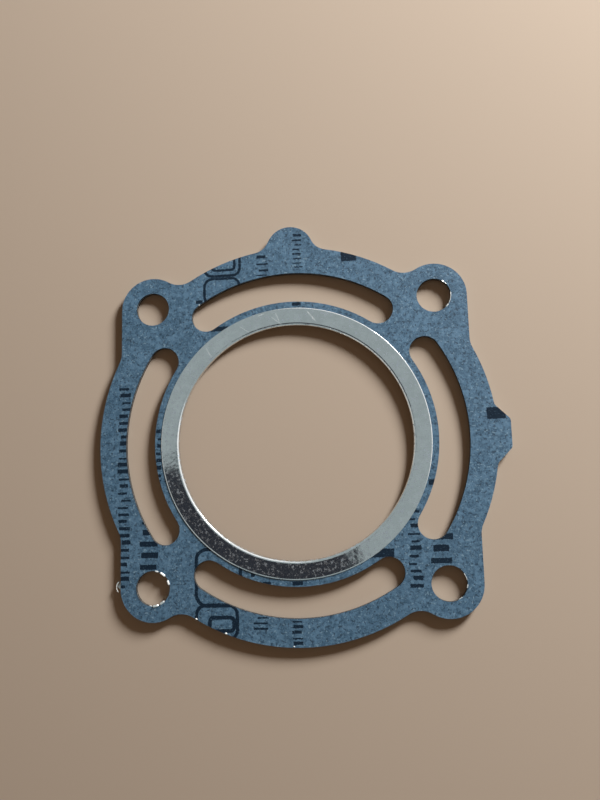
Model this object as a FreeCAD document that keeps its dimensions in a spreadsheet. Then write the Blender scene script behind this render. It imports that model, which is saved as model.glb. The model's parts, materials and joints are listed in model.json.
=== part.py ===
# Cylinder head gasket, laminated: a thin steel core between two fibre facings, with the bore
# edge wrapped in a folded metal eyelet (the fire ring).
# Frame: Z is the bore axis, z = 0 is the middle of the gasket's thickness, +Y points to the
# round lobe and +X to the flat tab. Lengths are in millimetres and angles in degrees.
import FreeCAD, Part
import Sketcher
import math
import os

# Each driving dimension is written once, here.
SIZES = (
    ("bore_diameter", 63.0, "clear hole inside the eyelet"),
    ("flange_width", 5.0, "the eyelet's two flanges, from the bore outwards"),
    ("eyelet_metal", 0.3, "thickness of the metal that the eyelet is folded from"),
    ("bend_flat", 0.5, "how much of the flange and of the bore wall each bend takes"),
    ("sheet_setback", 0.1, "room between the eyelet's bends and the edge of the sheets"),
    ("core_thickness", 0.25, "steel core"),
    ("facing_thickness", 0.55, "each fibre facing"),
    ("slot_land", 1.7, "sheet left between the eyelet and the coolant slots"),
    ("slot_width", 8.1, "width of a coolant slot"),
    ("rim_width", 7.2, "sheet left between the slots and the round outline"),
    ("side_slot_sweep", 65.4, "slots across the X axis: angle between their round ends' centres"),
    ("end_slot_sweep", 68.2, "the same for the slots across the Y axis"),
    ("stud_pitch_x", 77.6, "head studs, apart along X"),
    ("stud_pitch_y", 76.0, "head studs, apart along Y"),
    ("stud_hole_diameter", 9.2, "clearance hole for an 8 mm stud"),
    ("ear_radius", 8.8, "corner ear, round its stud"),
    ("ear_blend", 6.0, "hollow corner between an ear and the rim"),
    ("lobe_radius", 6.5, "round lobe on the +Y side"),
    ("lobe_rise", 6.1, "how far the lobe stands out past the rim"),
    ("lobe_blend", 5.0, "hollow corner between the lobe and the rim"),
    ("tab_rise", 3.4, "how far the tab on the +X side stands out past the rim"),
    ("tab_flat_width", 7.5, "width of the tab's flat end before its corners are rounded"),
    ("tab_slope", 45.0, "angle of the tab's flanks to the X axis"),
    ("tab_corner", 1.6, "round corners of the tab"),
    ("tab_blend", 2.0, "hollow corner between the tab and the rim"),
    ("tang_reach", 1.1, "steel point that sticks out of the ear at -X -Y"),
    ("tang_width", 2.3, "width of that point where it leaves the ear"),
    ("tang_rise", 0.7, "height of the point's tip above the centre of its stud"),
)
# Construction values that are no size of the real thing.
STOCK_OVERLAP = 1.5  # how far added stock reaches into the stock that carries it
CUT_MARGIN = 1.0  # how far a cut runs past the stock
SAME_PLACE = 0.01  # two points nearer than this are one
DISC_RADIUS = 0.2  # disc set round a corner of the outline to see how much stock there is
CORNER_SHARE = 0.02  # an outline that turns by less than this share of a turn runs on smoothly
FULL_TURN = 360.0
QUARTER_TURN = 90.0

doc = FreeCAD.newDocument("cylinder_head_gasket")
sheet = doc.addObject("Spreadsheet::Sheet", "sizes")
for row, (alias, value, note) in enumerate(SIZES, start=1):
    sheet.set("A%d" % row, alias)
    sheet.set("B%d" % row, str(value))
    sheet.setAlias("B%d" % row, alias)
    sheet.set("C%d" % row, note)
doc.recompute()
size = {alias: value for alias, value, note in SIZES}


class Length:
    """A size with its value and the expression that ties it to the sheet."""

    def __init__(self, value, expression):
        self.value = value
        self.expression = expression

    def __add__(self, other):
        return Length(self.value + other.value, "(%s + %s)" % (self.expression, other.expression))

    def __sub__(self, other):
        return Length(self.value - other.value, "(%s - %s)" % (self.expression, other.expression))

    def times(self, factor):
        return Length(self.value * factor, "(%s * %s)" % (self.expression, repr(factor)))

    def times_tangent(self, angle):
        """This length times the tangent of an angle on the sheet."""
        value = self.value * math.tan(math.radians(size[angle]))
        return Length(value, "(%s * tan(sizes.%s * 1 deg))" % (self.expression, angle))


def length(alias):
    """A driving dimension."""
    return Length(size[alias], "sizes." + alias)


def fixed(value):
    """A construction value."""
    return Length(value, repr(value))


ZERO = fixed(0.0)
HALF_PITCH_X = length("stud_pitch_x").times(0.5)
HALF_PITCH_Y = length("stud_pitch_y").times(0.5)
BORE_RADIUS = length("bore_diameter").times(0.5)
EYELET_RADIUS = BORE_RADIUS + length("flange_width")
# Both sides of a bend are flats at 45 degrees, set so that the metal stays equally thick.
INNER_BEND_FLAT = length("bend_flat") - length("eyelet_metal").times(2 - math.sqrt(2))
SHEET_BORE_RADIUS = BORE_RADIUS + length("eyelet_metal") + INNER_BEND_FLAT + length("sheet_setback")
SLOT_PATH_RADIUS = EYELET_RADIUS + length("slot_land") + length("slot_width").times(0.5)
RIM_RADIUS = SLOT_PATH_RADIUS + length("slot_width").times(0.5) + length("rim_width")
EAR_SIDE = HALF_PITCH_X + length("ear_radius")
LOBE_CENTRE = RIM_RADIUS + length("lobe_rise") - length("lobe_radius")
UPPER_FACING_Z = length("core_thickness").times(0.5)
STACK_TOP = UPPER_FACING_Z + length("facing_thickness")
EYELET_TOP = STACK_TOP + length("eyelet_metal")


def new_body(label, base_z):
    """An empty body that carries one sub-part, with its sketches at that height."""
    body = doc.addObject("PartDesign::Body", label)
    body.Label = label
    body.setExpression("Placement.Base.z", base_z.expression)
    return body


def origin_item(body, role):
    """One of the body's own origin planes or axes, such as XY_Plane."""
    return next(item for item in body.Origin.OriginFeatures if item.Role == role)


def new_sketch(body, name, role, turn=0.0):
    """An empty sketch on one of the body's origin planes, turned on it by that angle."""
    sketch = body.newObject("Sketcher::SketchObject", name)
    sketch.AttachmentSupport = (origin_item(body, role), [""])
    sketch.MapMode = "FlatFace"
    sketch.AttachmentOffset = FreeCAD.Placement(FreeCAD.Vector(), FreeCAD.Rotation(turn, 0, 0))
    return sketch


def hold(sketch, kind, item, corner, place):
    """Fixes one coordinate of a point, kind DistanceX or DistanceY, from the sketch's origin."""
    index = sketch.addConstraint(Sketcher.Constraint(kind, -1, 1, item, corner, place.value))
    sketch.setExpression("Constraints[%d]" % index, place.expression)


def circle_sketch(body, name, radius, x, y, turn=0.0):
    """A circle of that radius round x, y, on a sketch turned by that angle."""
    sketch = new_sketch(body, name, "XY_Plane", turn)
    centre = FreeCAD.Vector(x.value, y.value, 0)
    ring = sketch.addGeometry(Part.Circle(centre, FreeCAD.Vector(0, 0, 1), radius.value), False)
    index = sketch.addConstraint(Sketcher.Constraint("Radius", ring, radius.value))
    sketch.setExpression("Constraints[%d]" % index, radius.expression)
    hold(sketch, "DistanceX", ring, 3, x)
    hold(sketch, "DistanceY", ring, 3, y)
    return sketch


def stud_sketch(body, name, radius):
    """A circle of that radius round the -X -Y stud."""
    return circle_sketch(body, name, radius, HALF_PITCH_X.times(-1.0), HALF_PITCH_Y.times(-1.0))


def polygon_sketch(body, name, role, corners):
    """A closed outline of straight lines through the corners, each an x and a y."""
    sketch = new_sketch(body, name, role)
    points = [FreeCAD.Vector(x.value, y.value, 0) for x, y in corners]
    lines = []
    for start, end in zip(points, points[1:] + points[:1]):
        lines.append(sketch.addGeometry(Part.LineSegment(start, end), False))
    for line, following in zip(lines, lines[1:] + lines[:1]):
        sketch.addConstraint(Sketcher.Constraint("Coincident", line, 2, following, 1))
    for line, (x, y) in zip(lines, corners):
        hold(sketch, "DistanceX", line, 1, x)
        hold(sketch, "DistanceY", line, 1, y)
    return sketch


def box_corners(low_x, low_y, high_x, high_y):
    """The four corners of an upright rectangle."""
    return [(low_x, low_y), (high_x, low_y), (high_x, high_y), (low_x, high_y)]


def add_pad(body, name, sketch, thickness):
    """Raises a sketch into stock of that thickness."""
    pad = body.newObject("PartDesign::Pad", name)
    pad.Profile = sketch
    pad.setExpression("Length", thickness.expression)
    body.Tip = pad
    return pad


def add_pocket(body, name, sketch):
    """Cuts a sketch right through the stock above its plane."""
    before = recomputed_volume(body)
    pocket = body.newObject("PartDesign::Pocket", name)
    pocket.Profile = sketch
    pocket.Type = "ThroughAll"
    pocket.Reversed = True
    body.Tip = pocket
    if recomputed_volume(body) >= before:
        raise RuntimeError(body.Label + "." + name + " cut nothing")
    return pocket


def repeat_across_bore(body, name, feature):
    """Repeats a feature on the other side of the bore axis."""
    pattern = body.newObject("PartDesign::PolarPattern", name)
    pattern.Originals = [feature]
    pattern.Axis = (origin_item(body, "Z_Axis"), [""])
    pattern.Angle = FULL_TURN
    pattern.Occurrences = 2
    body.Tip = pattern


def repeat_at_studs(body, name, feature):
    """Repeats what was made at the -X -Y stud at all four."""
    pattern = body.newObject("PartDesign::LinearPattern", name)
    pattern.Originals = [feature]
    pattern.Direction = (origin_item(body, "X_Axis"), [""])
    pattern.Direction2 = (origin_item(body, "Y_Axis"), [""])
    pattern.setExpression("Length", length("stud_pitch_x").expression)
    pattern.setExpression("Length2", length("stud_pitch_y").expression)
    pattern.Occurrences = 2
    pattern.Occurrences2 = 2
    body.Tip = pattern


def recomputed_volume(body):
    doc.recompute()
    return body.Shape.Volume


def dress_edges(body, kind, name, reach, edge_names):
    """Breaks the named edges of what the body holds so far, kind Fillet or Chamfer."""
    carrier = body.Tip
    dressing = body.newObject("PartDesign::" + kind, name)
    dressing.Base = (carrier, edge_names)
    dressing.setExpression("Radius" if kind == "Fillet" else "Size", reach.expression)
    body.Tip = dressing
    doc.recompute()


def stock_round(face, x, y):
    """The share of a small disc round x, y that lies on a level face."""
    centre = FreeCAD.Vector(x, y, face.CenterOfMass.z)
    disc = Part.Face(Part.Wire(Part.makeCircle(DISC_RADIUS, centre)))
    return face.common(disc).Area / disc.Area


def corner_edges(shape, hollow):
    """Names of the upright edges where the outline turns inwards, if hollow, or else outwards."""
    level_face = max(shape.Faces, key=lambda face: face.Area)
    names = []
    for number, edge in enumerate(shape.Edges, start=1):
        if len(edge.Vertexes) != 2:
            continue
        foot, top = (vertex.Point for vertex in edge.Vertexes)
        if math.hypot(foot.x - top.x, foot.y - top.y) > SAME_PLACE:
            continue
        over_half = stock_round(level_face, foot.x, foot.y) - 0.5
        if (over_half if hollow else -over_half) > CORNER_SHARE:
            names.append("Edge%d" % number)
    return names


def ring_edges(shape, radius, height):
    """Names of the full circles of that radius round Z, that high above and below the middle."""
    names = []
    for number, edge in enumerate(shape.Edges, start=1):
        if not isinstance(edge.Curve, Part.Circle):
            continue
        same_radius = abs(edge.Curve.Radius - radius.value) < SAME_PLACE
        if same_radius and abs(abs(edge.Curve.Center.z) - height.value) < SAME_PLACE:
            names.append("Edge%d" % number)
    return names


def tab_corners():
    """The tab's outline, with its root inside the rim."""
    end_x = RIM_RADIUS + length("tab_rise")
    root_x = RIM_RADIUS - fixed(STOCK_OVERLAP)
    flat = length("tab_flat_width").times(0.5)
    root = flat + (end_x - root_x).times_tangent("tab_slope")
    return [(root_x, root.times(-1.0)), (end_x, flat.times(-1.0)), (end_x, flat), (root_x, root)]


def raise_outline(body, thickness):
    """The sheet's stock: rim disc, straight sides and ears, then the lobe, then the tab."""

    def blend(name, radius_alias, hollow=True):
        doc.recompute()
        edges = corner_edges(body.Shape, hollow)
        dress_edges(body, "Fillet", name, length(radius_alias), edges)

    add_pad(body, "rim_disc", circle_sketch(body, "rim_outline", RIM_RADIUS, ZERO, ZERO), thickness)
    side = box_corners(EAR_SIDE.times(-1.0), HALF_PITCH_Y.times(-1.0), EAR_SIDE, HALF_PITCH_Y)
    add_pad(body, "straight_sides", polygon_sketch(body, "side_outline", "XY_Plane", side), thickness)
    ear_sketch = stud_sketch(body, "ear_outline", length("ear_radius"))
    repeat_at_studs(body, "ears", add_pad(body, "ear", ear_sketch, thickness))
    blend("ear_blends", "ear_blend")

    # Turned like this, the circle's own start point lies inside the rim, away from its outline.
    lobe_radius, lobe_x = length("lobe_radius"), LOBE_CENTRE.times(-1.0)
    lobe_sketch = circle_sketch(body, "lobe_outline", lobe_radius, lobe_x, ZERO, -QUARTER_TURN)
    add_pad(body, "lobe", lobe_sketch, thickness)
    blend("lobe_blends", "lobe_blend")

    add_pad(body, "tab", polygon_sketch(body, "tab_outline", "XY_Plane", tab_corners()), thickness)
    blend("tab_blends", "tab_blend")
    blend("tab_corners", "tab_corner", hollow=False)


def slot_sketch(body, name, sweep_alias, turn):
    """A coolant slot, two arcs round the bore joined by round ends, at that turn from the X axis."""
    sketch = new_sketch(body, name, "XY_Plane", turn)
    path = SLOT_PATH_RADIUS
    half_width = length("slot_width").times(0.5)
    half_sweep = math.radians(size[sweep_alias] / 2)
    upward = FreeCAD.Vector(0, 0, 1)
    centre = FreeCAD.Vector(0, 0, 0)

    def arc_round(middle, radius, start, end):
        return sketch.addGeometry(Part.ArcOfCircle(Part.Circle(middle, upward, radius), start, end), False)

    end_at = FreeCAD.Vector(path.value * math.cos(half_sweep), path.value * math.sin(half_sweep), 0)
    start_at = FreeCAD.Vector(end_at.x, -end_at.y, 0)
    outer = arc_round(centre, path.value + half_width.value, -half_sweep, half_sweep)
    inner = arc_round(centre, path.value - half_width.value, -half_sweep, half_sweep)
    upper_end = arc_round(end_at, half_width.value, half_sweep, half_sweep + math.pi)
    lower_end = arc_round(start_at, half_width.value, math.pi - half_sweep, 2 * math.pi - half_sweep)
    for arc in (outer, inner):
        sketch.addConstraint(Sketcher.Constraint("Coincident", arc, 3, -1, 1))
    sketch.addConstraint(Sketcher.Constraint("Tangent", outer, 2, upper_end, 1))
    sketch.addConstraint(Sketcher.Constraint("Tangent", upper_end, 2, inner, 2))
    sketch.addConstraint(Sketcher.Constraint("Tangent", inner, 1, lower_end, 1))
    sketch.addConstraint(Sketcher.Constraint("Tangent", lower_end, 2, outer, 1))
    for arc, radius in ((outer, path + half_width), (upper_end, half_width)):
        index = sketch.addConstraint(Sketcher.Constraint("Radius", arc, radius.value))
        sketch.setExpression("Constraints[%d]" % index, radius.expression)
    rise = Length(end_at.y, "(%s * sin(sizes.%s * 0.5 deg))" % (path.expression, sweep_alias))
    hold(sketch, "DistanceY", upper_end, 3, rise)
    hold(sketch, "DistanceY", lower_end, 3, rise.times(-1.0))
    return sketch


def punch_holes(body):
    """The bore, the stud holes and the coolant slots."""
    add_pocket(body, "bore", circle_sketch(body, "bore_outline", SHEET_BORE_RADIUS, ZERO, ZERO))
    hole_sketch = stud_sketch(body, "stud_hole_outline", length("stud_hole_diameter").times(0.5))
    repeat_at_studs(body, "stud_holes", add_pocket(body, "stud_hole", hole_sketch))
    for place, turn in (("side", 0.0), ("end", QUARTER_TURN)):
        slot = place + "_slot"
        sketch = slot_sketch(body, slot + "_outline", slot + "_sweep", turn)
        repeat_across_bore(body, slot + "s", add_pocket(body, slot, sketch))
    doc.recompute()


def make_sheet(label, base_z, thickness):
    """One layer of the laminate: all layers are punched to the same outline."""
    body = new_body(label, base_z)
    raise_outline(body, thickness)
    punch_holes(body)
    return body


def make_core():
    """The steel core, with the one point of metal that sticks out of the ear at -X -Y."""
    body = make_sheet("steel_core", UPPER_FACING_Z.times(-1.0), length("core_thickness"))
    tip_y = length("tang_rise") - HALF_PITCH_Y
    half_width = length("tang_width").times(0.5)
    widening = "(1 + %s / sizes.tang_reach)" % repr(STOCK_OVERLAP)
    root_half = Length(
        half_width.value * (1 + STOCK_OVERLAP / size["tang_reach"]),
        half_width.expression + " * " + widening,
    )
    root_x = fixed(STOCK_OVERLAP) - EAR_SIDE
    corners = [
        (root_x, tip_y + root_half),
        ((EAR_SIDE + length("tang_reach")).times(-1.0), tip_y),
        (root_x, tip_y - root_half),
    ]
    tang_sketch = polygon_sketch(body, "tang_outline", "XY_Plane", corners)
    add_pad(body, "tang", tang_sketch, length("core_thickness"))
    doc.recompute()
    return body


def add_turned(body, kind, name, corners):
    """Turns a section round the bore axis, kind Revolution for stock or Groove for a cut."""
    turned = body.newObject("PartDesign::" + kind, name)
    turned.Profile = polygon_sketch(body, name + "_section", "XZ_Plane", corners)
    turned.ReferenceAxis = (origin_item(body, "Z_Axis"), [""])
    turned.Angle = FULL_TURN
    body.Tip = turned


def make_eyelet():
    """The fire ring: sheet metal folded to a U round the bore edge, flanges above and below."""
    body = new_body("bore_eyelet", ZERO)
    blank = box_corners(BORE_RADIUS, EYELET_TOP.times(-1.0), EYELET_RADIUS, EYELET_TOP)
    add_turned(body, "Revolution", "blank", blank)

    before = recomputed_volume(body)
    wall_radius = BORE_RADIUS + length("eyelet_metal")
    open_radius = EYELET_RADIUS + fixed(CUT_MARGIN)
    channel = box_corners(wall_radius, STACK_TOP.times(-1.0), open_radius, STACK_TOP)
    add_turned(body, "Groove", "channel", channel)
    if recomputed_volume(body) >= before:
        raise RuntimeError("the eyelet's channel cut nothing")

    outer_rings = ring_edges(body.Shape, BORE_RADIUS, EYELET_TOP)
    dress_edges(body, "Chamfer", "outer_bends", length("bend_flat"), outer_rings)
    inner_rings = ring_edges(body.Shape, wall_radius, STACK_TOP)
    dress_edges(body, "Chamfer", "inner_bends", INNER_BEND_FLAT, inner_rings)
    return body


def check(bodies):
    """Stops at any feature that failed and any sub-part that is not one valid solid."""
    for item in doc.Objects:
        if "Invalid" in item.State or "Error" in item.State:
            raise RuntimeError(item.Name + " failed: " + str(item.State))
    for body in bodies:
        if body.Shape.isNull() or not body.Shape.isValid() or len(body.Shape.Solids) != 1:
            raise RuntimeError(body.Label + " is not one valid solid")


def main():
    facing = length("facing_thickness")
    bodies = [
        make_sheet("lower_facing", STACK_TOP.times(-1.0), facing),
        make_core(),
        make_sheet("upper_facing", UPPER_FACING_Z, facing),
        make_eyelet(),
    ]
    doc.recompute()
    check(bodies)
    os.makedirs("parts", exist_ok=True)
    for body in bodies:
        body.Shape.exportStep("parts/" + body.Label + ".step")
        box = body.Shape.BoundBox
        print("%-13s %8.1f mm3  z %.2f to %.2f" % (body.Label, body.Shape.Volume, box.ZMin, box.ZMax))


main()
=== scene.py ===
# %% [markdown]
# # A cylinder head gasket, lying on a pale floor
#
# A head gasket seals the joint between an engine's cylinder and its head. This one is a laminate:
# a thin steel core between two blue-grey fibre facings, and a folded metal fire ring that shields
# the bore edge from the flame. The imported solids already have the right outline, holes and slots.
# This lesson gives them their finishes, rounds the fire ring's folds, adds the small burrs that the
# punch left, and sets up the floor, the light and the camera.

# %% Load the solids and keep their box
import json
import math

import bmesh
import bpy
from mathutils import Euler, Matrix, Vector


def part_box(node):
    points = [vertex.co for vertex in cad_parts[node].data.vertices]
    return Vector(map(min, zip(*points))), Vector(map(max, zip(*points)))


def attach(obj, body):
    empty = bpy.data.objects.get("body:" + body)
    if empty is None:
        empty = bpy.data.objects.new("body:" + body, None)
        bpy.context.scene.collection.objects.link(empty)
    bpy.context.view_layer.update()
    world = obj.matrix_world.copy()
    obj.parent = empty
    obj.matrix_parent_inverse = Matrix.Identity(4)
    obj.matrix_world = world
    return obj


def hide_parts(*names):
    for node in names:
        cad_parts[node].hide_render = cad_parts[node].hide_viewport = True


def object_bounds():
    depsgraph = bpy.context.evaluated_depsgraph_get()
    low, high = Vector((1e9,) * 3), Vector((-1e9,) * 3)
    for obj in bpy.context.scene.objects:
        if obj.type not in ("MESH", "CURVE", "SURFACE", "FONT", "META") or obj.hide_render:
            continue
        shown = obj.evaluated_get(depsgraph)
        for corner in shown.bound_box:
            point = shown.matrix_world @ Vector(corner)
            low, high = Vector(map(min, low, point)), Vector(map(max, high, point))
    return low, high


MM = 0.001  # one millimetre, in Blender's metres

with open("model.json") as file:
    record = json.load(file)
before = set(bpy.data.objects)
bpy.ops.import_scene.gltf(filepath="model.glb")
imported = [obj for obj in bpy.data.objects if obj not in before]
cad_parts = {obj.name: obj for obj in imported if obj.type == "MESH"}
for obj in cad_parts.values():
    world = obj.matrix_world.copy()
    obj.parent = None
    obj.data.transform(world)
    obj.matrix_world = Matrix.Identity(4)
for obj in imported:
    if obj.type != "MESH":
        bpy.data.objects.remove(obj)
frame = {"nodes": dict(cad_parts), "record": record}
cad_box = [list(corner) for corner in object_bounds()]
ring_low, ring_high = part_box("bore_eyelet")
bore_radius = next(m for m in frame["record"]["mounts"] if m["name"] == "bore")["dims"]["r_mm"] * MM
print("solids:", sorted(frame["nodes"]))
print("fire ring reaches %.2f mm, bore radius %.2f mm" % (ring_high.x / MM, bore_radius / MM))

# %% [markdown]
# ## Small helpers for node trees
#
# Every finish here is procedural, so it is a tree of nodes. Wiring each node by hand is long to
# read. `put` adds one node and fills its inputs, from numbers or from other nodes' outputs. `calc`
# is one step of arithmetic, and `laid_out` moves, turns and scales the place that a pattern reads,
# which moves, turns and scales the pattern itself.

# %% Helpers for node trees
def put(tree, kind, inputs=None, **settings):
    """Adds a node, fills its inputs with numbers or with other nodes' outputs, and gives it."""
    node = tree.nodes.new(kind)
    for setting, value in settings.items():
        setattr(node, setting, value)
    for socket, value in (inputs or {}).items():
        if isinstance(value, bpy.types.NodeSocket):
            tree.links.new(value, node.inputs[socket])
        else:
            node.inputs[socket].default_value = value
    return node


def calc(tree, operation, *values):
    """One arithmetic step on numbers or outputs."""
    node = put(tree, "ShaderNodeMath", dict(enumerate(values)), operation=operation)
    return node.outputs[0]


def laid_out(tree, place, centre=(0, 0, 0), turn=(0, 0, 0), size=(1, 1, 1)):
    """The place seen from a centre, turned and measured in units of size."""
    inputs = {"Vector": place, "Location": centre, "Rotation": turn, "Scale": size}
    return put(tree, "ShaderNodeMapping", inputs, vector_type="TEXTURE").outputs["Vector"]


print("helpers for node trees: put, calc and laid_out")

# %% [markdown]
# ## The printed marks
#
# The facing sheet is printed all over before the gaskets are punched from it, so each gasket gets
# random pieces of the print, cut off by its holes. Here the print is only rows of plain bars, plain
# blocks and round-cornered frames. One node group draws a row of bars: it steps along the row in
# cells, and lets random numbers per cell choose how wide and tall its bar is and how far it is
# shifted. As the bars are part of the material, the real holes in the solid cut them off for free.

# %% A node group for a row of bars
def new_group(name, sockets):
    """An empty node group with those inputs and one number out."""
    group = bpy.data.node_groups.new(name, "ShaderNodeTree")
    for label, kind in sockets:
        group.interface.new_socket(label, in_out="INPUT", socket_type=kind)
    group.interface.new_socket("Ink", in_out="OUTPUT", socket_type="NodeSocketFloat")
    return group, group.nodes.new("NodeGroupInput").outputs, group.nodes.new("NodeGroupOutput").inputs


VECTOR, NUMBER = "NodeSocketVector", "NodeSocketFloat"

bar_row, given, result = new_group(
    "bar_row",
    [("Place", VECTOR), ("Centre", VECTOR), ("Turn", VECTOR), ("Half length", NUMBER),
     ("Half height", NUMBER), ("Pitch", NUMBER), ("Seed", NUMBER)],
)
seen = laid_out(bar_row, given["Place"], given["Centre"], given["Turn"])
along, across = put(bar_row, "ShaderNodeSeparateXYZ", {0: seen}).outputs[:2]
steps = calc(bar_row, "DIVIDE", along, given["Pitch"])
cell = calc(bar_row, "ADD", calc(bar_row, "FLOOR", steps), given["Seed"])
chance = put(bar_row, "ShaderNodeTexWhiteNoise", {"W": cell}, noise_dimensions="1D").outputs["Color"]
chances = put(bar_row, "ShaderNodeSeparateColor", {0: chance}).outputs
width_chance, height_chance, shift_chance = chances[:3]
bar_width = calc(bar_row, "MULTIPLY_ADD", width_chance, 0.40, 0.25)
bar = calc(bar_row, "LESS_THAN", calc(bar_row, "FRACT", steps), bar_width)
share = calc(bar_row, "MULTIPLY_ADD", height_chance, 0.40, 0.55)
room_left = calc(bar_row, "SUBTRACT", 1.0, share)
shift = calc(bar_row, "MULTIPLY", room_left, calc(bar_row, "MULTIPLY_ADD", shift_chance, 2.0, -1.0))
against_shift = calc(bar_row, "MULTIPLY", shift, -1.0)
shifted = calc(bar_row, "MULTIPLY_ADD", against_shift, given["Half height"], across)
tall = calc(bar_row, "LESS_THAN", calc(bar_row, "ABSOLUTE", shifted),
            calc(bar_row, "MULTIPLY", given["Half height"], share))
within = calc(bar_row, "LESS_THAN", calc(bar_row, "ABSOLUTE", along), given["Half length"])
ink = calc(bar_row, "MULTIPLY", within, calc(bar_row, "MULTIPLY", bar, tall))
bar_row.links.new(ink, result["Ink"])
print("group", bar_row.name, "with", len(bar_row.nodes), "nodes")

# %% [markdown]
# ## Round-cornered frames
#
# The frames could be thin boxes. The distance to a rounded rectangle is shorter: it is how far a
# place lies past the straight part of each side, taken together as one length, less the corner's
# radius. Ink lies where this distance is within half a stroke of nought.

# %% A node group for a frame
round_frame, given, result = new_group(
    "round_frame",
    [("Place", VECTOR), ("Centre", VECTOR), ("Half width", NUMBER), ("Half height", NUMBER),
     ("Corner", NUMBER), ("Stroke", NUMBER)],
)
seen = laid_out(round_frame, given["Place"], given["Centre"])
along, across = put(round_frame, "ShaderNodeSeparateXYZ", {0: seen}).outputs[:2]
outside = []
for distance, reach in ((along, given["Half width"]), (across, given["Half height"])):
    past = calc(round_frame, "SUBTRACT", calc(round_frame, "ABSOLUTE", distance), reach)
    past = calc(round_frame, "MAXIMUM", calc(round_frame, "ADD", past, given["Corner"]), 0.0)
    outside.append(calc(round_frame, "MULTIPLY", past, past))
to_corner = calc(round_frame, "SQRT", calc(round_frame, "ADD", *outside))
to_edge = calc(round_frame, "ABSOLUTE", calc(round_frame, "SUBTRACT", to_corner, given["Corner"]))
line = calc(round_frame, "LESS_THAN", to_edge, calc(round_frame, "MULTIPLY", given["Stroke"], 0.5))
round_frame.links.new(line, result["Ink"])
print("group", round_frame.name, "with", len(round_frame.nodes), "nodes")

# %% [markdown]
# ## Where the print lies
#
# Each row is given by its centre, how far it is turned, half its length, half its height and the
# pitch of its bars, in millimetres from the bore axis. Small print stands in long upright rows, and
# large print in short ones. A block is a frame whose corner is smaller than half its stroke, because
# its line then meets itself in the middle and fills it.

# %% The rows, frames and blocks of print
BAR_ROWS = (
    # centre x, centre y, turn in degrees, half length, half height, pitch
    (-46.8, -11.2, 90, 27.3, 1.9, 1.9),
    (-39.9, -27.1, 90, 6.6, 3.2, 3.0),
    (30.4, -29.4, 90, 10.7, 1.85, 1.9),
    (37.4, -29.9, 90, 5.4, 3.2, 3.0),
    (2.1, 52.8, 90, 5.0, 1.45, 1.3),
    (-7.8, 49.1, 90, 3.1, 2.0, 1.9),
    (-10.4, -47.5, 90, 2.1, 2.6, 1.4),
    (-0.5, -50.0, 90, 3.6, 1.6, 1.4),
    (-37.2, -2.7, 90, 7.0, 0.8, 2.0),
)
ROUND_FRAMES = (
    # centre x, centre y, half width, half height, corner, stroke
    (-19.0, 50.8, 4.9, 4.2, 2.0, 0.75),
    (-18.8, 50.6, 3.2, 2.4, 1.0, 0.7),
    (-19.2, 42.2, 4.9, 3.6, 2.2, 0.75),
    (-21.2, -35.4, 5.9, 7.3, 3.0, 0.9),
    (-21.7, -46.9, 5.4, 4.4, 2.5, 0.9),
    (-20.4, -47.4, 3.2, 1.7, 1.0, 1.0),
)
BLOCKS = (
    # centre x, centre y, half width, half height
    (1.5, 37.5, 1.2, 0.5),
    (-20.1, 31.5, 2.4, 0.7),
    (22.2, -30.0, 2.9, 1.1),
    (35.7, -12.1, 0.9, 0.7),
    (53.2, 5.4, 2.4, 1.55),
    (-12.0, -35.0, 0.5, 0.5),
    (-8.3, -37.1, 1.1, 0.35),
    (-0.2, -37.3, 1.4, 0.5),
    (-25.6, 39.4, 1.0, 0.5),
    (16.2, 50.3, 2.1, 1.4),
)
BLOCK_CORNER, BLOCK_STROKE = 0.05, 0.2


def printed(tree, place):
    """All the marks together: 1 where there is ink."""
    frames = list(ROUND_FRAMES)
    for x, y, half_width, half_height in BLOCKS:
        inner = (half_width - BLOCK_STROKE / 2, half_height - BLOCK_STROKE / 2)
        frames.append((x, y, *inner, BLOCK_CORNER, BLOCK_STROKE))
    marks = []
    for seed, (x, y, turn, half_length, half_height, pitch) in enumerate(BAR_ROWS):
        given_row = {0: place, 1: (x, y, 0), 2: (0, 0, math.radians(turn)), 3: half_length,
                     4: half_height, 5: pitch, 6: 31.0 * seed}
        marks.append(put(tree, "ShaderNodeGroup", given_row, node_tree=bar_row).outputs[0])
    for x, y, half_width, half_height, corner, stroke in frames:
        given_frame = {0: place, 1: (x, y, 0), 2: half_width, 3: half_height, 4: corner, 5: stroke}
        marks.append(put(tree, "ShaderNodeGroup", given_frame, node_tree=round_frame).outputs[0])
    ink = marks[0]
    for mark in marks[1:]:
        ink = calc(tree, "MAXIMUM", ink, mark)
    return ink


print("print:", len(BAR_ROWS), "rows of bars,", len(ROUND_FRAMES), "frames and", len(BLOCKS), "blocks")

# %% [markdown]
# ## Helpers for the finishes
#
# A finish starts as a new material whose shader is ready to be fed. `ease` turns a value that crosses
# from one level to another into a soft 0 to 1, `mix` blends two colours by such a value, and `noise`
# is the cloudy pattern that most of these finishes are built on. Every pattern reads its place in
# millimetres from the bore axis, so that its scale is a real size.

# %% Helpers for finishes
def ease(tree, value, start, end):
    """0 before start, 1 after end, and a smooth step between them."""
    inputs = {"Value": value, "From Min": start, "From Max": end}
    return put(tree, "ShaderNodeMapRange", inputs, interpolation_type="SMOOTHSTEP").outputs["Result"]


def mix(tree, factor, first, second):
    """Blends two colours."""
    inputs = {0: factor, 6: first, 7: second}
    return put(tree, "ShaderNodeMix", inputs, data_type="RGBA").outputs[2]


def noise(tree, place, scale, detail=2.0, roughness=0.5):
    """Cloudy noise, scale in bumps a millimetre."""
    inputs = {"Vector": place, "Scale": scale, "Detail": detail, "Roughness": roughness}
    return put(tree, "ShaderNodeTexNoise", inputs).outputs["Fac"]


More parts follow.
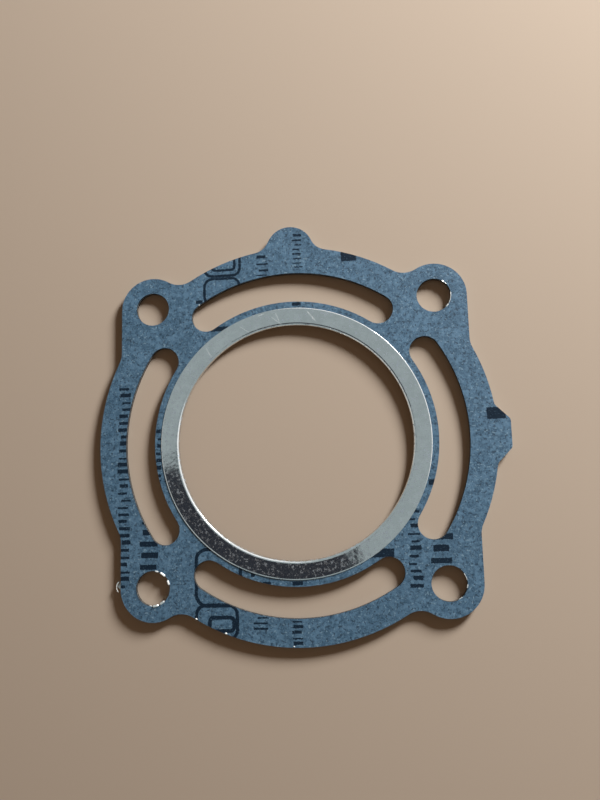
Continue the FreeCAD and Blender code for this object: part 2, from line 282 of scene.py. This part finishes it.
def calc_vector(tree, operation, inputs):
    """One arithmetic step on vectors."""
    return put(tree, "ShaderNodeVectorMath", inputs, operation=operation).outputs["Vector"]


def in_millimetres(tree):
    """Places on the piece, in millimetres from the bore axis."""
    where = put(tree, "ShaderNodeTexCoord").outputs["Object"]
    return laid_out(tree, where, size=(MM, MM, MM))


def new_finish(name):
    """A new material with its shader, and its tree."""
    material = bpy.data.materials.new(name)
    material.use_nodes = True
    shader = material.node_tree.nodes["Principled BSDF"]
    return material, material.node_tree, shader


def wear(piece, material):
    """Gives a piece that one finish."""
    piece.data.materials.clear()
    piece.data.materials.append(material)


print("helpers for finishes: ease, mix, noise, calc_vector, in_millimetres, new_finish and wear")

# %% [markdown]
# ## The fibre facings
#
# The sheet is pressed from short fibres in a rubber binder. Close to, it isn't one colour: it is
# mottled in soft patches under a millimetre across, with paler and darker specks here and there
# where the binder is thin or thick, over clouds some millimetres wide. Each of these is a noise at
# its own scale, and the specks are the same noise cut off near its top, which leaves only its
# peaks. A faint felt of fibres lies over it: a fibre is noise stretched along one direction, so
# three stretched noises at different turns make a felt.

# %% Specks and felt
FELT_LAYERS = 3


def specks(tree, place, scale, shift, low, high):
    """Small soft specks: 1 inside a speck, 0 between them."""
    return ease(tree, noise(tree, laid_out(tree, place, centre=shift), scale, 2.5), low, high)


def felt(tree, place, length, width, low, high):
    """Short straight fibres in three directions: 1 on a fibre."""
    fibres = None
    for step in range(FELT_LAYERS):
        turn = math.radians(12 + 60 * step)
        stretched = laid_out(tree, place, centre=(7.3 * step, 3.1 * step, 0), turn=(0, 0, turn),
                             size=(length, width, width))
        layer = ease(tree, noise(tree, stretched, 1.0, 1.0), low, high)
        fibres = layer if fibres is None else calc(tree, "MAXIMUM", fibres, layer)
    return fibres


print("felt of", FELT_LAYERS, "layers of fibres")

# %% [markdown]
# ## The facings' finish
#
# The ground is mixed from pale and deep blue by the patches, clouds and grain, and the fibres and
# specks lie over it. Ink comes last. Its edge is ragged because the sheet is rough, so its place is
# shifted a little by noise, and it is missing where the grain lies low. The punched walls show torn
# fibre ends, which are darker than the face. Their colour is also made darker still, as painted shade
# for the shade that fills the holes and slots. The walls are told apart by the surface's own normal.

# %% The fibre finish
DEEP_BLUE, PALE_BLUE = (0.034, 0.098, 0.174, 1), (0.124, 0.262, 0.418, 1)
DARK_SPECK, PALE_SPECK = (0.010, 0.034, 0.066, 1), (0.260, 0.430, 0.580, 1)
INK = (0.004, 0.015, 0.033, 1)
# Cut walls: dark torn fibre, darkened further as painted shade for the shade in the holes and slots
SHADED_TORN_DARK, SHADED_TORN_PALE = (0.006, 0.009, 0.012, 1), (0.030, 0.040, 0.050, 1)
RAGGED = 0.5  # how far noise shifts the ink's edge, in millimetres for a noise of 1


def fibre_finish(name, with_print):
    """The blue-grey fibre sheet, printed or bare."""
    material, tree, shader = new_finish(name)
    place = in_millimetres(tree)
    clouds = noise(tree, place, 0.14, 3.0, 0.6)
    patches = noise(tree, place, 0.85, 4.0, 0.65)
    grain = noise(tree, place, 3.2, 2.0, 0.6)
    dark_specks = specks(tree, place, 1.4, (40, 17, 3), 0.57, 0.66)
    pale_specks = specks(tree, place, 1.6, (11, 63, 9), 0.61, 0.70)
    fibres = felt(tree, place, 1.4, 0.28, 0.58, 0.72)

    ground = mix(tree, ease(tree, patches, 0.36, 0.66), DEEP_BLUE, PALE_BLUE)
    ground = mix(tree, calc(tree, "MULTIPLY", ease(tree, clouds, 0.45, 0.65), 0.35), ground, DEEP_BLUE)
    ground = mix(tree, calc(tree, "MULTIPLY", ease(tree, grain, 0.40, 0.65), 0.45), ground, PALE_BLUE)
    ground = mix(tree, calc(tree, "MULTIPLY", fibres, 0.15), ground, PALE_SPECK)
    ground = mix(tree, calc(tree, "MULTIPLY", dark_specks, 0.72), ground, DARK_SPECK)
    ground = mix(tree, calc(tree, "MULTIPLY", pale_specks, 0.80), ground, PALE_SPECK)
    cover = 0.0
    if with_print:
        uneven = put(tree, "ShaderNodeTexNoise", {"Vector": place, "Scale": 2.2, "Detail": 2.0})
        shift = calc_vector(tree, "SUBTRACT", {0: uneven.outputs["Color"], 1: (0.5, 0.5, 0.5)})
        shift = calc_vector(tree, "SCALE", {0: shift, "Scale": RAGGED})
        shifted_place = calc_vector(tree, "ADD", {0: place, 1: shift})
        cover = calc(tree, "MULTIPLY", printed(tree, shifted_place), ease(tree, grain, 0.20, 0.42))
        ground = mix(tree, calc(tree, "MULTIPLY", cover, 0.97), ground, INK)

    normal = put(tree, "ShaderNodeNewGeometry").outputs["Normal"]
    upright = calc(tree, "ABSOLUTE", put(tree, "ShaderNodeSeparateXYZ", {0: normal}).outputs["Z"])
    wall = ease(tree, upright, 0.6, 0.4)
    torn_layers = noise(tree, laid_out(tree, place, size=(1.4, 1.4, 0.12)), 1.0, 3.0, 0.7)
    # The walls' colour is torn fibre plus painted shade, so every cut wall is dark whichever way it
    # faces
    torn_and_shaded_wall_colour = mix(tree, ease(tree, torn_layers, 0.4, 0.65), SHADED_TORN_DARK, SHADED_TORN_PALE)
    tree.links.new(mix(tree, wall, ground, torn_and_shaded_wall_colour), shader.inputs["Base Color"])

    roughness = calc(tree, "MULTIPLY_ADD", grain, 0.25, 0.46)
    tree.links.new(roughness, shader.inputs["Roughness"])
    gloss = calc(tree, "MULTIPLY_ADD", cover, -0.30, calc(tree, "MULTIPLY_ADD", wall, -0.35, 0.45))
    tree.links.new(calc(tree, "MAXIMUM", gloss, 0.05), shader.inputs["Specular IOR Level"])
    height = calc(tree, "MULTIPLY_ADD", dark_specks, -0.6, grain)
    height = calc(tree, "MULTIPLY_ADD", fibres, 0.35, height)
    height = calc(tree, "MULTIPLY_ADD", patches, 1.5, height)
    bump = put(tree, "ShaderNodeBump", {"Height": height, "Strength": 0.6, "Distance": 0.03 * MM})
    tree.links.new(bump.outputs["Normal"], shader.inputs["Normal"])
    return material


wear(frame["nodes"]["upper_facing"], fibre_finish("printed_fibre", True))
wear(frame["nodes"]["lower_facing"], fibre_finish("bare_fibre", False))
print("fibre finishes on both facings")

# %% [markdown]
# ## The steel core
#
# Only its punched edge shows, a thin line between the facings, and the small point that the punch
# left on one ear. Rolled steel is satin: a metal with middling roughness and lines along the way it
# was rolled, which a noise stretched along X gives.

# %% The core's finish
DULL_STEEL, PALE_STEEL = (0.28, 0.27, 0.26, 1), (0.58, 0.58, 0.56, 1)


def steel_finish(name):
    """Satin rolled steel with bright and dull patches."""
    material, tree, shader = new_finish(name)
    place = in_millimetres(tree)
    rolled = noise(tree, laid_out(tree, place, size=(6.0, 0.15, 0.15)), 1.0, 3.0)
    patches = noise(tree, place, 0.9, 3.0, 0.6)
    colour = mix(tree, ease(tree, patches, 0.35, 0.65), DULL_STEEL, PALE_STEEL)
    tree.links.new(colour, shader.inputs["Base Color"])
    shader.inputs["Metallic"].default_value = 1.0
    tree.links.new(calc(tree, "MULTIPLY_ADD", rolled, 0.30, 0.42), shader.inputs["Roughness"])
    bump = put(tree, "ShaderNodeBump", {"Height": rolled, "Strength": 0.3, "Distance": 0.01 * MM})
    tree.links.new(bump.outputs["Normal"], shader.inputs["Normal"])
    return material


wear(frame["nodes"]["steel_core"], steel_finish("core_steel"))
print("steel finish on the core")

# %% [markdown]
# ## Helpers for modelling
#
# A piece is shaped by hand in edit mode: some edges or faces are selected, and an operator works on
# them. In a script the selecting is done in code, by where the corners of each edge or face lie.

# %% Helpers for modelling
def deselect_all():
    """Operators act on all that is selected, so nothing is left over."""
    bpy.ops.object.select_all(action="DESELECT")


def pick(piece, kind, wanted):
    """In edit mode, selects only the vertices, edges or faces whose corners are wanted."""
    mesh = bmesh.from_edit_mesh(piece.data)
    bpy.ops.mesh.select_mode(type=kind)
    bpy.ops.mesh.select_all(action="DESELECT")
    found = 0
    for item in {"VERT": mesh.verts, "EDGE": mesh.edges, "FACE": mesh.faces}[kind]:
        corners = [item.co] if kind == "VERT" else [vertex.co for vertex in item.verts]
        if wanted(corners):
            item.select = True
            found += 1
    mesh.select_flush_mode()
    bmesh.update_edit_mesh(piece.data)
    return found


def near(value, target):
    """Whether two lengths are the same, to two thousandths of a millimetre."""
    return abs(value - target) < 0.002 * MM


print("helpers for modelling: deselect_all, pick and near")

# %% [markdown]
# ## The fire ring's shape
#
# The fire ring is a strip of thin bright metal, folded over the bore edge into a U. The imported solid
# draws each fold as a plain 45 degree flat. A press makes a round fold, and on bright metal the fold
# is what catches the light, so the ring gets its own piece. It could be a section spun round the
# axis. Here it grows from an open cylinder, because a ring whose every loop is a true circle
# stays perfectly round: the two rims are pulled outwards into flanges, the two corner
# loops are bevelled round, and Solidify gives the sheet its thickness on the hidden side. The press
# curls the flanges' outer lips down into the soft facings, by some 0.2 mm, and this curl is the
# thin bright line round the ring.

# %% Grow the ring from an open cylinder
RING_STEPS = 256
METAL = 0.3 * MM  # thickness of the ring's metal
FOLD_RADIUS = 0.90 * MM
FOLD_STEPS = 7
FLAT_PAST_FOLD = 0.1 * MM  # room for the bevel that rounds the fold
FLANGE_SAG = 0.05 * MM  # how far the flat of the flange leans down on its way out
CURL_RADIUS = 0.50 * MM
CURL_ANGLE = math.radians(50)
CURL_STEPS = 5

deselect_all()
bpy.ops.mesh.primitive_cylinder_add(
    vertices=RING_STEPS, radius=bore_radius, depth=ring_high.z - ring_low.z,
    end_fill_type="NOTHING", location=(0, 0, 0),
)
fire_ring = bpy.context.object
fire_ring.name = "fire_ring"
bpy.ops.object.mode_set(mode="EDIT")
flange_width = ring_high.x - bore_radius
curl_start = flange_width - CURL_RADIUS * math.sin(CURL_ANGLE)
flange_profile = [(FOLD_RADIUS + FLAT_PAST_FOLD, 0), (curl_start, FLANGE_SAG)]
for step in range(1, CURL_STEPS + 1):
    angle = CURL_ANGLE * step / CURL_STEPS
    flange_profile.append((curl_start + CURL_RADIUS * math.sin(angle),
                           FLANGE_SAG + CURL_RADIUS * (1 - math.cos(angle))))
for side in (1, -1):
    radius, height = bore_radius, side * ring_high.z
    for width, dip in flange_profile:
        wider, lower = bore_radius + width, side * (ring_high.z - dip)

        def on_rim(corners):
            return all(near(c.z, height) and near(math.hypot(c.x, c.y), radius) for c in corners)

        pick(fire_ring, "EDGE", on_rim)
        bpy.ops.mesh.extrude_edges_move()
        bpy.ops.transform.resize(value=(wider / radius, wider / radius, 1), center_override=(0, 0, 0))
        bpy.ops.transform.translate(value=(0, 0, lower - height))
        radius, height = wider, lower
corner_edges = pick(
    fire_ring, "EDGE",
    lambda corners: all(near(math.hypot(c.x, c.y), bore_radius) for c in corners)
    and near(corners[0].z, corners[1].z),
)
bpy.ops.mesh.bevel(offset=FOLD_RADIUS, segments=FOLD_STEPS, profile=0.5, affect="EDGES")
bpy.ops.mesh.select_all(action="SELECT")
bpy.ops.mesh.flip_normals()
bpy.ops.object.mode_set(mode="OBJECT")
print("flange lip lies %.2f mm lower" % (flange_profile[-1][1] / MM))
print("corner edges rounded:", corner_edges)

# %% [markdown]
# ## The ring's thickness and lips
#
# Solidify works along the normals. They point to the side that shows, so an offset of -1 puts the
# metal on the other side and the outer size stays as it was. A small bevel breaks the two lips,
# which on the real ring are a sheared edge.

# %% Thickness and lips
LIP_BEVEL = 0.05 * MM
SMOOTH_ANGLE = math.radians(35)  # faces that meet flatter than this are shaded as one


def add_modifier(piece, name, kind, **settings):
    """Adds a modifier, sets it and applies it."""
    modifier = piece.modifiers.new(name, kind)
    for setting, value in settings.items():
        setattr(modifier, setting, value)
    deselect_all()
    piece.select_set(True)
    bpy.context.view_layer.objects.active = piece
    bpy.ops.object.modifier_apply(modifier=name)


add_modifier(fire_ring, "sheet_metal", "SOLIDIFY", thickness=METAL, offset=-1.0, use_even_offset=True)
add_modifier(fire_ring, "broken_lips", "BEVEL", width=LIP_BEVEL, segments=2, limit_method="ANGLE",
             angle_limit=math.radians(60))
bpy.ops.object.shade_smooth_by_angle(angle=SMOOTH_ANGLE)
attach(fire_ring, "root")
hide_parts("bore_eyelet")
fire_ring.visible_diffuse = False  # keeps the cards' mirrored glow off the floor
print("fire ring:", len(fire_ring.data.polygons), "faces")

# %% [markdown]
# ## The fire ring's finish
#
# Bright rolled metal mirrors the room, a little blurred. What tells it from chrome is what rolling
# and handling leave: a slow waviness that makes reflections wander, a stipple of duller spots,
# hair-fine lines, and a few longer scratches. The dull spots are a thin film that scatters light as
# well as mirroring it. Its colour is chosen so that it's as bright as the mirrored room: it shows as
# paler specks only where the ring mirrors something dark. The long scratches are given by their two
# ends and drawn by the distance to a line.

# %% The ring's finish
SCRATCHES = (
    # start x, start y, end x, end y, width, in millimetres
    (4.1, 35.6, 6.9, 32.0, 0.30),
    (-5.9, 34.4, -2.4, 31.6, 0.24),
    (-4.4, 35.4, -3.2, 32.4, 0.26),
    (-9.4, 34.5, -7.2, 35.2, 0.22),
    (-14.6, 32.0, -11.4, 29.9, 0.18),
    (-24.0, 26.6, -22.0, 23.2, 0.22),
)
DULL_MIRROR, PALE_MIRROR = (0.70, 0.72, 0.72, 1), (0.78, 0.80, 0.80, 1)
SCRATCH_COLOUR = (0.97, 0.97, 0.96, 1)
FILM, FILM_COVER = (0.47, 0.55, 0.64, 1), 0.55  # the dull specks' colour, and how much they hide


def scratch(tree, place, start_x, start_y, end_x, end_y, width):
    """A straight scratch between two points: 1 on the line."""
    turn = math.atan2(end_y - start_y, end_x - start_x)
    half_length = math.hypot(end_x - start_x, end_y - start_y) / 2
    centre = ((start_x + end_x) / 2, (start_y + end_y) / 2, 0)
    seen_line = laid_out(tree, place, centre, (0, 0, turn))
    x, y = put(tree, "ShaderNodeSeparateXYZ", {0: seen_line}).outputs[:2]
    beside = ease(tree, calc(tree, "ABSOLUTE", y), width, 0.3 * width)
    along_line = ease(tree, calc(tree, "ABSOLUTE", x), half_length, 0.6 * half_length)
    return calc(tree, "MULTIPLY", beside, along_line)


def bright_finish(name):
    """Bright rolled sheet metal with handling marks."""
    material, tree, shader = new_finish(name)
    place = in_millimetres(tree)
    waviness = noise(tree, place, 0.35, 2.0)
    stipple = noise(tree, place, 1.5, 4.0, 0.7)
    dull_spots = ease(tree, stipple, 0.53, 0.66)
    hairlines = noise(tree, laid_out(tree, place, turn=(0, 0, 0.6), size=(4.0, 0.05, 0.4)), 1.0, 2.0)
    smears = noise(tree, place, 0.5, 3.0, 0.65)
    marks = None
    for line_ends in SCRATCHES:
        one = scratch(tree, place, *line_ends)
        marks = one if marks is None else calc(tree, "MAXIMUM", marks, one)
    colour = mix(tree, ease(tree, smears, 0.35, 0.7), DULL_MIRROR, PALE_MIRROR)
    colour = mix(tree, dull_spots, colour, FILM)
    colour = mix(tree, calc(tree, "MULTIPLY", marks, 0.55), colour, SCRATCH_COLOUR)
    tree.links.new(colour, shader.inputs["Base Color"])
    tree.links.new(calc(tree, "MULTIPLY_ADD", dull_spots, -FILM_COVER, 1.0), shader.inputs["Metallic"])
    roughness = calc(tree, "MULTIPLY_ADD", smears, 0.10, 0.05)
    roughness = calc(tree, "MULTIPLY_ADD", dull_spots, 0.10, roughness)
    roughness = calc(tree, "MULTIPLY_ADD", marks, 0.20, roughness)
    tree.links.new(roughness, shader.inputs["Roughness"])
    height = calc(tree, "MULTIPLY_ADD", hairlines, 0.02, waviness)
    height = calc(tree, "MULTIPLY_ADD", stipple, 0.05, height)
    height = calc(tree, "MULTIPLY_ADD", marks, -0.15, height)
    bump = put(tree, "ShaderNodeBump", {"Height": height, "Strength": 1.0, "Distance": 0.05 * MM})
    tree.links.new(bump.outputs["Normal"], shader.inputs["Normal"])
    return material


bright_metal = bright_finish("bright_metal")
wear(fire_ring, bright_metal)
wear(frame["nodes"]["bore_eyelet"], bright_metal)
print("bright finish with", len(SCRATCHES), "scratches")

# %% [markdown]
# ## Small burrs from the punch
#
# Punching steel between fibre leaves bright slivers round some holes and specks on the outline. Each
# is a curved splinter that hugs the edge it was torn from. It could be a bent cube. A hexagon spun
# a few degrees round the hole's own centre follows the edge by itself, and its two ends are then
# pinched to points.

# %% One splinter
SPLINTER_SIDES, SPLINTER_STEPS = 6, 6
TIP_SIZE = 0.15  # a pinched end, as a share of the splinter's thickness


def splinter(centre_x, centre_y, radius, start, end, height, half_thickness):
    """A thin curved splinter on an edge round that centre, between two angles in degrees."""
    middle = Vector((centre_x * MM, centre_y * MM, height * MM))
    first, last = math.radians(start), math.radians(end)
    place = middle + Vector((math.cos(first), math.sin(first), 0)) * radius * MM
    deselect_all()
    bpy.ops.mesh.primitive_circle_add(
        vertices=SPLINTER_SIDES, radius=half_thickness * MM, fill_type="NGON", location=place,
        rotation=(math.pi / 2, 0, first),
    )
    piece = bpy.context.object
    bpy.ops.object.transform_apply(location=True, rotation=True, scale=True)
    bpy.ops.object.mode_set(mode="EDIT")
    bpy.ops.mesh.select_all(action="SELECT")
    bpy.ops.mesh.spin(steps=SPLINTER_STEPS, angle=first - last, center=middle, axis=(0, 0, 1))
    for angle in (first, last):
        tip = middle + Vector((math.cos(angle), math.sin(angle), 0)) * radius * MM
        end_reach = 1.2 * half_thickness * MM
        pick(piece, "VERT", lambda corners: all((c - tip).length < end_reach for c in corners))
        bpy.ops.transform.resize(value=(TIP_SIZE, TIP_SIZE, TIP_SIZE), center_override=tip)
    bpy.ops.mesh.select_all(action="SELECT")
    bpy.ops.mesh.remove_doubles(threshold=0.001 * MM)
    bpy.ops.mesh.normals_make_consistent(inside=False)
    bpy.ops.object.mode_set(mode="OBJECT")
    return piece


print("a splinter has", SPLINTER_SIDES, "sides and", SPLINTER_STEPS, "steps along its length")

# %% [markdown]
# ## Where the splinters lie
#
# Each row gives the centre that the splinter curves round, its radius, the angles of its two ends, its
# height above the gasket's mid-plane and half its thickness. Those at a stud hole curve round the
# hole's centre, and those on the outline round the bore axis or the ear's own centre.

# %% The splinters' places
STUD_X, STUD_Y = 38.8, 38.0  # the stud holes' centres, in millimetres
HOLE, INNER_HOLE = 4.55, 4.45  # just inside the holes' walls, and a little further in
SPLINTERS = (
    # centre x, centre y, radius, start angle, end angle, height, half thickness
    (-STUD_X, -STUD_Y, HOLE, 84, 70, 0.60, 0.22),
    (-STUD_X, -STUD_Y, HOLE, 66, 42, 0.62, 0.30),
    (-STUD_X, -STUD_Y, INNER_HOLE, 30, 10, 0.60, 0.30),
    (-STUD_X, -STUD_Y, INNER_HOLE, -46, -66, 0.62, 0.30),
    (-STUD_X, -STUD_Y, HOLE, -70, -92, 0.62, 0.30),
    (-STUD_X, -STUD_Y, HOLE, -94, -104, 0.40, 0.16),
    (STUD_X, -STUD_Y, HOLE, 34, 8, 0.56, 0.13),
    (STUD_X, -STUD_Y, HOLE, -3, -16, 0.58, 0.16),
    (STUD_X, -STUD_Y, HOLE, -48, -62, 0.58, 0.13),
    (STUD_X, STUD_Y, HOLE, 60, 51, 0.62, 0.15),
    (STUD_X, STUD_Y, HOLE, 48, 40, 0.60, 0.08),
    (STUD_X, STUD_Y, HOLE, 12, -34, 0.62, 0.09),
    (STUD_X, STUD_Y, HOLE, -34, -48, 0.62, 0.17),
    (0, 0, 53.35, -120.2, -121.0, 0.62, 0.20),
    (0, 0, 53.30, -110.8, -111.7, 0.62, 0.26),
    (0, 0, 53.20, -91.4, -92.0, 0.62, 0.18),
    (-STUD_X, -STUD_Y, 8.70, 221, 236, 0.50, 0.10),
    (0, 0, 46.35, 123.2, 124.0, 0.55, 0.20),
    # round the torn steel point at the ear
    (-46.9, -37.6, 1.95, 128, 182, 0.20, 0.16),
    (-46.9, -37.6, 1.95, 176, 222, 0.14, 0.11),
)
splinters = [splinter(*numbers) for numbers in SPLINTERS]
deselect_all()
for piece in splinters:
    piece.select_set(True)
bpy.context.view_layer.objects.active = splinters[0]
bpy.ops.object.join()
burrs = bpy.context.object
burrs.name = "punch_burrs"
bpy.ops.object.transform_apply(location=True, rotation=True, scale=True)
bpy.ops.object.shade_smooth_by_angle(angle=SMOOTH_ANGLE)
print(len(SPLINTERS), "splinters,", len(burrs.data.polygons), "faces")

# %% [markdown]
# ## The splinters' finish
#
# Freshly torn steel is brighter than rolled steel and has no even direction, so a fine noise alone
# varies its colour and its roughness.

# %% The torn steel's finish
TORN_STEEL, BRIGHT_STEEL = (0.86, 0.86, 0.84, 1), (0.98, 0.98, 0.96, 1)
torn_steel, tree, shader = new_finish("torn_steel")
shader.inputs["Metallic"].default_value = 1.0
torn = noise(tree, in_millimetres(tree), 4.0, 2.0)
tree.links.new(mix(tree, torn, TORN_STEEL, BRIGHT_STEEL), shader.inputs["Base Color"])
tree.links.new(calc(tree, "MULTIPLY_ADD", torn, 0.3, 0.25), shader.inputs["Roughness"])
wear(burrs, torn_steel)
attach(burrs, "root")
print("finish", torn_steel.name, "on", burrs.name)

# %% [markdown]
# ## Floor and surroundings
#
# The gasket lies on a plain pale floor. Around it are two things that could be one, and are two so
# that each is set by itself: a pale grey room, which is seen and mirrored but lights nothing, and a
# dim warm dome, which only lights the shadows. Each is shown only to the rays that it is for.

# %% Floor and surroundings
FLOOR_COLOUR, FLOOR_SIZE = (0.64, 0.54, 0.44, 1), 4.0
ROOM_COLOUR, ROOM_GLOW = (0.85, 0.98, 1.0, 1), 0.42
DOME_COLOUR, DOME_GLOW, DOME_RADIUS = (1.0, 0.60, 0.32, 1), 0.09, 3.0


def stage_only(thing, **seen_by):
    """Sets which rays see a thing."""
    for ray, shown in seen_by.items():
        setattr(thing, "visible_" + ray, shown)


deselect_all()
bpy.ops.mesh.primitive_plane_add(size=FLOOR_SIZE, location=(0, 0, cad_box[0][2]))
floor = bpy.context.object
floor.name = "floor"
floor_paint, tree, shader = new_finish("pale_floor")
shader.inputs["Base Color"].default_value = FLOOR_COLOUR
shader.inputs["Roughness"].default_value = 0.85
shader.inputs["Specular IOR Level"].default_value = 0.25
wear(floor, floor_paint)
stage_only(floor)

room = bpy.data.worlds.new("pale_room")
bpy.context.scene.world = room
room.use_nodes = True
room.node_tree.nodes["Background"].inputs["Color"].default_value = ROOM_COLOUR
room.node_tree.nodes["Background"].inputs["Strength"].default_value = ROOM_GLOW
room.cycles_visibility.diffuse = False

deselect_all()
bpy.ops.mesh.primitive_uv_sphere_add(segments=32, ring_count=16, radius=DOME_RADIUS, location=(0, 0, 0))
warm_dome = bpy.context.object
warm_dome.name = "warm_dome"
dome_glow, tree, shader = new_finish("warm_glow")
shader.inputs["Base Color"].default_value = (0, 0, 0, 1)
shader.inputs["Emission Color"].default_value = DOME_COLOUR
shader.inputs["Emission Strength"].default_value = DOME_GLOW
dome_glow.cycles.emission_sampling = "NONE"
wear(warm_dome, dome_glow)
stage_only(warm_dome, camera=False, glossy=False, transmission=False, shadow=False)
print("floor at z = %.3f mm" % (cad_box[0][2] / MM))

# %% [markdown]
# ## The soft light
#
# One soft light stands low to the upper right, so the shadows fall to the lower left. The gasket is
# thin, and they are only a few millimetres long. A disk 0.2 m wide blurs their edges a little.

# %% The soft light
def aim(thing, place, target):
    """Puts a thing at a place, facing the target."""
    thing.location = place
    thing.rotation_euler = (Vector(place) - Vector(target)).to_track_quat("Z", "Y").to_euler()


LIGHT_SIZE, LIGHT_ENERGY, LIGHT_COLOUR = 0.20, 9.3, (1.0, 0.97, 0.94)
LIGHT_DISTANCE = 0.75
LIGHT_AZIMUTH, LIGHT_ELEVATION = math.radians(50), math.radians(19.5)
deselect_all()
bpy.ops.object.light_add(type="AREA")
soft_light = bpy.context.object
soft_light.name = "soft_light"
soft_light.data.shape = "DISK"
soft_light.data.size = LIGHT_SIZE
soft_light.data.energy = LIGHT_ENERGY
soft_light.data.color = LIGHT_COLOUR
level = LIGHT_DISTANCE * math.cos(LIGHT_ELEVATION)
aim(soft_light, (level * math.cos(LIGHT_AZIMUTH), level * math.sin(LIGHT_AZIMUTH),
                 LIGHT_DISTANCE * math.sin(LIGHT_ELEVATION)), (0, 0, 0))
print("soft light", LIGHT_DISTANCE, "m away")

# %% [markdown]
# ## Cards for the mirror
#
# Bright metal shows only what it mirrors. A wide bright card behind the light draws a white line
# along each rounded fold that faces it, and a weaker one stands across from it. They could be lights.
# Cards that shine and are seen only in mirrors leave the matt floor and facings nearly as they were.

# %% Two bright cards
def as_card(piece, name, colour, glow):
    """Makes a flat piece a card that is seen only in mirrors, and shines by glow."""
    piece.name = name
    paper, tree, shader = new_finish(name + "_paper")
    shader.inputs["Base Color"].default_value = (0, 0, 0, 1)
    shader.inputs["Emission Color"].default_value = colour
    shader.inputs["Emission Strength"].default_value = glow
    wear(piece, paper)
    stage_only(piece, camera=False, diffuse=False, transmission=False, shadow=False)


def standing_card(name, width, height, azimuth, elevation, distance, colour, glow):
    """A card round the gasket at those angles in degrees, facing it, with its width level."""
    deselect_all()
    bpy.ops.mesh.primitive_plane_add(size=1.0)
    piece = bpy.context.object
    piece.scale = (width, height, 1)
    turn, rise = math.radians(azimuth), math.radians(elevation)
    level = distance * math.cos(rise)
    piece.location = (level * math.cos(turn), level * math.sin(turn), distance * math.sin(rise))
    piece.rotation_euler = (math.pi / 2 - rise, 0, turn + math.pi / 2)
    as_card(piece, name, colour, glow)


standing_card("bright_card", width=1.7, height=0.70, azimuth=42, elevation=31, distance=0.7,
              colour=(1.0, 1.0, 1.0, 1), glow=1.12)
standing_card("side_card", width=1.0, height=0.30, azimuth=200, elevation=17, distance=0.7,
              colour=(1.0, 0.97, 0.92, 1), glow=0.65)
print("a bright card behind the light and a weaker one across from it")

# %% [markdown]
# ## The black card
#
# A black card, as a photographer would use, hangs over the lower left and gives the ring its dark
# side. A flat mirror shows a camera at height h above it the place that lies at the same height, as
# far on the other side of the mirrored spot. So a wedge at that height, whose point is at minus the
# camera's x and y, darkens the ring between two of its radii.

# %% The black card
CAMERA_PLACE = Vector((17.57, -14.24, 186.97)) * MM
CARD_START, CARD_END = 189, 297  # degrees round the ring that are dark
CARD_REACH = 128 * MM
CARD_STEPS = 120  # 3 degrees each
CARD_COLOUR, CARD_GLOW = (0.55, 0.70, 1.0, 1), 0.035
deselect_all()
bpy.ops.mesh.primitive_circle_add(vertices=CARD_STEPS, radius=CARD_REACH, fill_type="TRIFAN",
                                  location=(0, 0, 0))
black_card = bpy.context.object
bpy.ops.object.mode_set(mode="EDIT")


def beside_the_wedge(corners):
    """Whether a face of the card lies outside the two angles."""
    middle = sum(corners, Vector()) / len(corners)
    return not CARD_START < math.degrees(math.atan2(middle.y, middle.x)) % 360 < CARD_END


pick(black_card, "FACE", beside_the_wedge)
bpy.ops.mesh.delete(type="FACE")
bpy.ops.object.mode_set(mode="OBJECT")
black_card.location = (-CAMERA_PLACE.x, -CAMERA_PLACE.y, CAMERA_PLACE.z)
as_card(black_card, "black_card", CARD_COLOUR, CARD_GLOW)
print("black card:", len(black_card.data.polygons), "faces")

# %% [markdown]
# ## The camera
#
# The photo was taken by hand from about 187 mm above the gasket, a little to the lower right of the
# bore axis, and tilted a few degrees. A camera is matched to a photo of a flat part by its outline
# and its holes: where they fall in the frame gives the camera's place and turn.

# %% The camera
CAMERA_TURN = (7.504, 5.074, -1.621)  # in degrees, about x, y and z
LENS = 31.5  # in millimetres, for a 36 mm sensor

deselect_all()
bpy.ops.object.camera_add(
    location=CAMERA_PLACE,
    rotation=Euler([math.radians(angle) for angle in CAMERA_TURN], "XYZ"),
)
camera = bpy.context.object
camera.name = "photo_camera"
camera.data.sensor_fit = "AUTO"
camera.data.sensor_width = 36.0
camera.data.lens = LENS
camera.data.clip_start = 0.01
bpy.context.scene.camera = camera
bpy.context.scene.view_settings.view_transform = "Standard"
print("camera", round(camera.location.z / MM, 1), "mm above the bore's middle")

# %% [markdown]
# ## The sizes
#
# The CAD box, the size of the solids, is printed. The dressed part has to stay as big as the
# solids.

# %% Print the CAD box
print("CAD box", [[round(c / MM, 3) for c in corner] for corner in cad_box])
